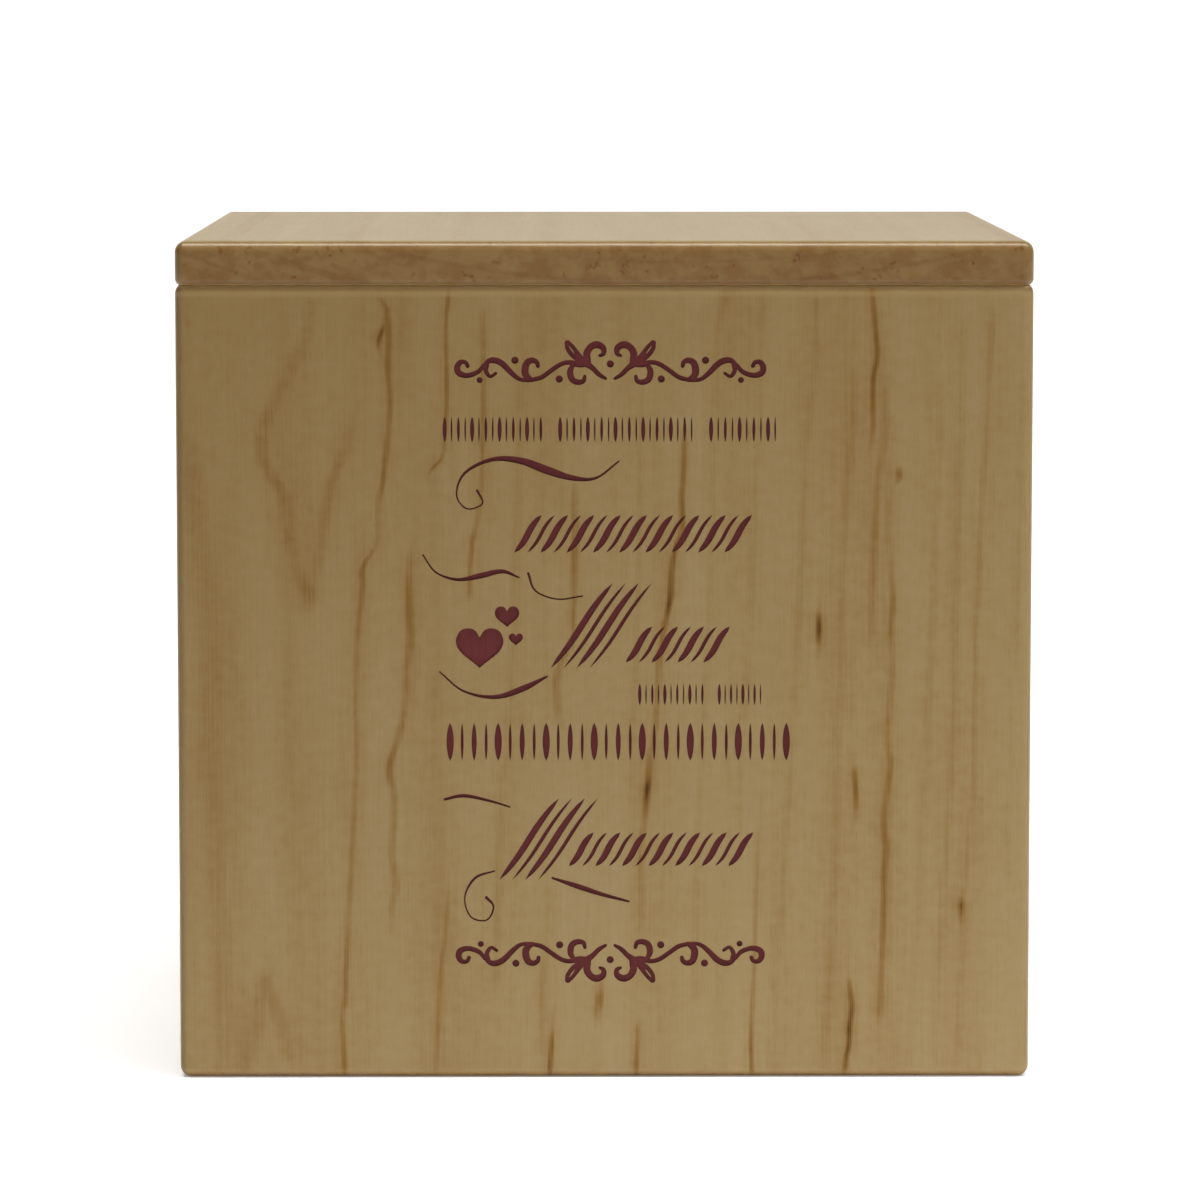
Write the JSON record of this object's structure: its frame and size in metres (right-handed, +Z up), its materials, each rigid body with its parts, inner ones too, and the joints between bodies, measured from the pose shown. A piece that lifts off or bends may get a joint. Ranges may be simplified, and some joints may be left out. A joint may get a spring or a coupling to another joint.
{
  "type": "cremation urn box",
  "caption": "Hollow cube-like wooden urn box with rounded edges and a lift-off lid over a V groove; its front is engraved with scrollwork, hearts and rows of plain strokes.",
  "frame": {"origin": "middle of the underside, on the surface that the box stands on", "axes": "+Z up; -Y out of the engraved front; +X to the right of someone facing the front"},
  "size_m": [0.165, 0.165, 0.1625],
  "materials": {
    "maple": "solid maple under clear satin lacquer; the front's engraving is filled with burgundy paint"
  },
  "bodies": {
    "root": {"front_board": "maple", "right_board": "maple", "back_board": "maple", "left_board": "maple", "bottom_panel": "maple", "lid": "maple"}
  },
  "joints": []
}
